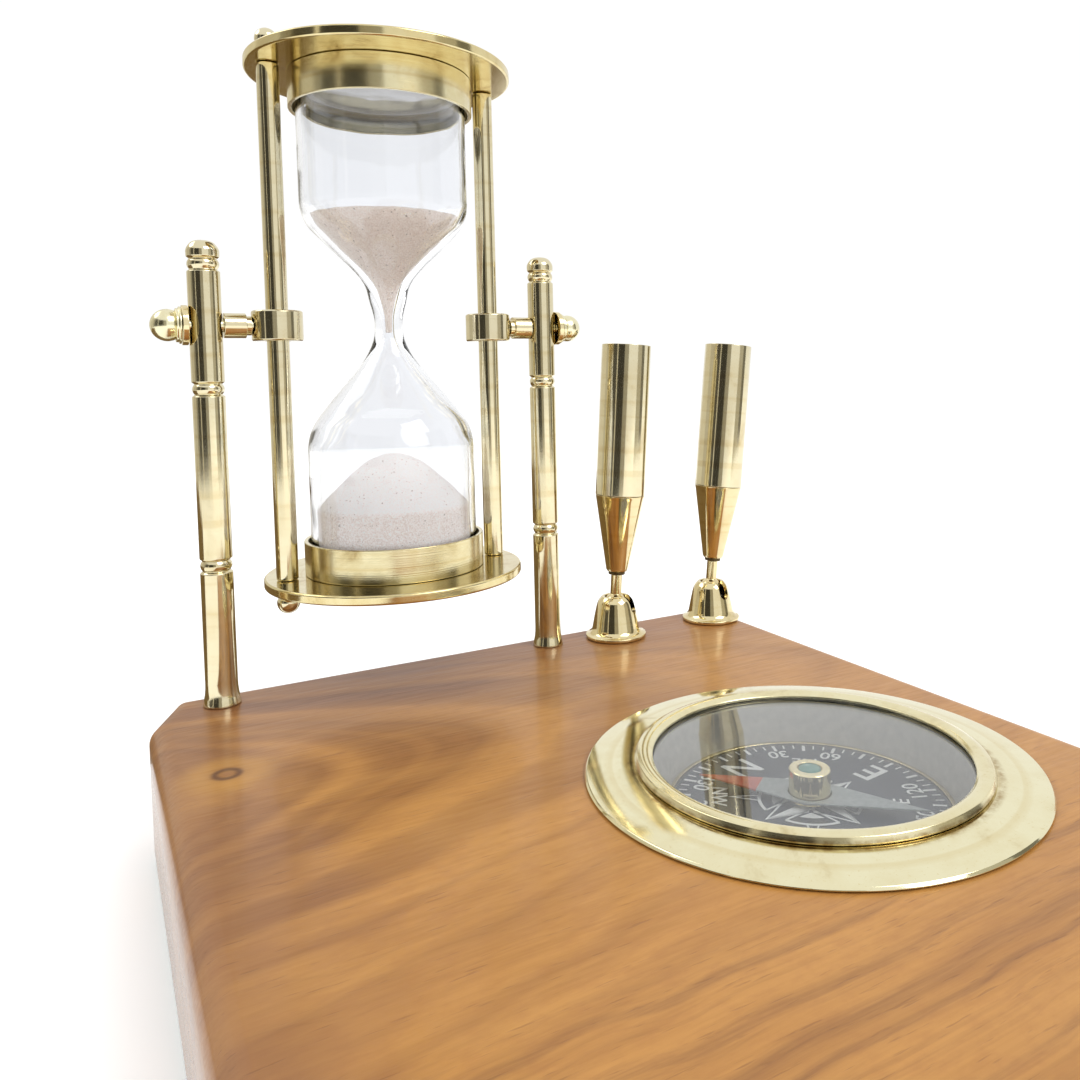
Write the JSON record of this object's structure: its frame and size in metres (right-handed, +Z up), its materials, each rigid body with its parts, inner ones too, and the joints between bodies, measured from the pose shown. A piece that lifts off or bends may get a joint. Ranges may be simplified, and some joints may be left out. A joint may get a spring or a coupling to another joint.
{
  "type": "desk set with swinging hourglass",
  "caption": "Wooden desk base with a sand glass that swings between brass posts, an inset compass and swivelling pen holders.",
  "frame": {"origin": "centre of the base's footprint, on its underside", "axes": "+X to the right, +Y to the back where the hourglass stands, +Z up"},
  "size_m": [0.1594, 0.201, 0.1787],
  "materials": {
    "brass": "polished and lacquered",
    "dark_brass": "darkened",
    "wood": "glossy lacquer over orange-brown wood",
    "felt": "felt",
    "glass": "clear, polished",
    "sand": "fine pale sand",
    "cork": "cork",
    "cushion": "pale felt",
    "steel": "plain",
    "dial_black": "black print with white marks",
    "housing_paint": "matt grey inside the case",
    "needle_paint": "silver-grey with a red north tip",
    "jewel_green": "green insert",
    "gasket_rubber": "plain"
  },
  "bodies": {
    "base": {"wooden_base": "wood", "felt_underlay": "felt", "post_left": "brass", "post_right": "brass", "post_screw_left": "steel", "post_screw_right": "steel", "compass_housing": "housing_paint", "compass_gasket": "gasket_rubber", "compass_glass": "glass", "compass_flange": "brass", "compass_bezel": "brass", "compass_dial": "dial_black", "dial_rim": "brass", "needle_pin": "steel", "swivel_bell_1": "brass", "swivel_bell_2": "brass", "bell_plate_1": "brass", "bell_plate_2": "brass", "bell_screw_1": "steel", "bell_screw_2": "steel", "swivel_spring_1": "steel", "swivel_spring_2": "steel"},
    "hourglass": {"glass_vial": "glass", "glass_plug": "cork", "sand_upper": "sand", "sand_lower": "sand", "disc_top": "brass", "disc_bottom": "brass", "collar_top": "brass", "collar_bottom": "brass", "cushion_top": "cushion", "cushion_bottom": "cushion", "rod_left": "brass", "rod_right": "brass", "rod_nut_top_left": "brass", "rod_nut_top_right": "brass", "rod_nut_bottom_left": "brass", "rod_nut_bottom_right": "brass", "ring_clamp_left": "brass", "ring_clamp_right": "brass", "pivot_spacer_left": "brass", "pivot_spacer_right": "brass", "pivot_washer_left": "brass", "pivot_washer_right": "brass"},
    "knob_left": {"thumb_screw_left": "brass"},
    "knob_right": {"thumb_screw_right": "brass"},
    "needle": {"compass_needle": "needle_paint", "needle_cap": "brass", "needle_jewel": "jewel_green"},
    "seat_1": {"ball_seat_1": "steel"},
    "holder_1": {"ball_stem_1": "brass", "neck_ring_1": "dark_brass", "pen_cone_1": "brass", "pen_tube_1": "brass"},
    "seat_2": {"ball_seat_2": "steel"},
    "holder_2": {"ball_stem_2": "brass", "neck_ring_2": "dark_brass", "pen_cone_2": "brass", "pen_tube_2": "brass"}
  },
  "joints": [
    {"name": "hourglass_swing", "type": "hinge", "parent": "base", "child": "hourglass", "pos_m": [-0.022, 0.081, 0.113], "axis": [1, 0, 0], "continuous": true},
    {"name": "knob_left_turn", "type": "hinge", "parent": "hourglass", "child": "knob_left", "pos_m": [-0.062, 0.081, 0.113], "axis": [1, 0, 0], "range_deg": [0, 360]},
    {"name": "knob_right_turn", "type": "hinge", "parent": "hourglass", "child": "knob_right", "pos_m": [0.018, 0.081, 0.113], "axis": [1, 0, 0], "range_deg": [0, 360]},
    {"name": "needle_turn", "type": "hinge", "parent": "base", "child": "needle", "pos_m": [0.0255, -0.0145, 0.024], "axis": [0, 0, 1], "continuous": true},
    {"name": "holder_1_swivel", "type": "hinge", "parent": "base", "child": "seat_1", "pos_m": [0.0368, 0.0775, 0.038], "axis": [0, 0, 1], "range_deg": [-120, 120]},
    {"name": "holder_1_tilt", "type": "hinge", "parent": "seat_1", "child": "holder_1", "pos_m": [0.0368, 0.0775, 0.038], "axis": [0, 1, 0], "range_deg": [-8, 14]},
    {"name": "holder_2_swivel", "type": "hinge", "parent": "base", "child": "seat_2", "pos_m": [0.0684, 0.0773, 0.038], "axis": [0, 0, 1], "continuous": true},
    {"name": "holder_2_tilt", "type": "hinge", "parent": "seat_2", "child": "holder_2", "pos_m": [0.0684, 0.0773, 0.038], "axis": [0, 1, 0], "range_deg": [-14, 14]}
  ]
}
